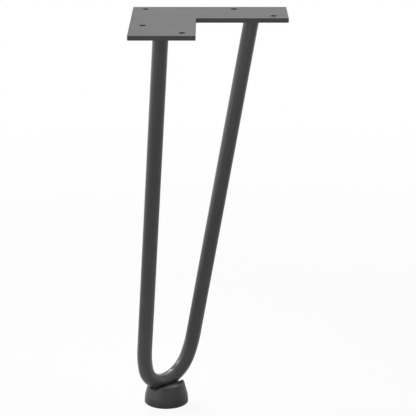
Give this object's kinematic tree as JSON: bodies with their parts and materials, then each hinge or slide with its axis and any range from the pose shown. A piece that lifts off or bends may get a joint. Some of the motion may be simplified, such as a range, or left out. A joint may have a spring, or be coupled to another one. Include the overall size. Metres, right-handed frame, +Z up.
{
  "type": "hairpin table leg",
  "caption": "Short hairpin table leg: a bent round bar welded under an L-shaped screw plate, with a conical foot saddled under the bend.",
  "frame": {"origin": "on the table face of the screw plate, at the centre of the corner square where its two arms cross", "axes": "+Z up into the table top, the plate's arms along +X and -Y, the rod and foot hanging towards -Z"},
  "size_m": [0.121, 0.121, 0.326],
  "materials": {
    "plate_coat": "satin anthracite powder coat",
    "rod_coat": "satin anthracite powder coat",
    "foot_plastic": "fine moulded matt, anthracite",
    "screw_zinc": "zinc plated"
  },
  "bodies": {
    "root": {"mounting_plate": "plate_coat", "hairpin_rod": "rod_coat", "weld_y_arm": "rod_coat", "weld_x_arm": "rod_coat", "foot": "foot_plastic", "foot_screw": "screw_zinc"}
  },
  "joints": []
}
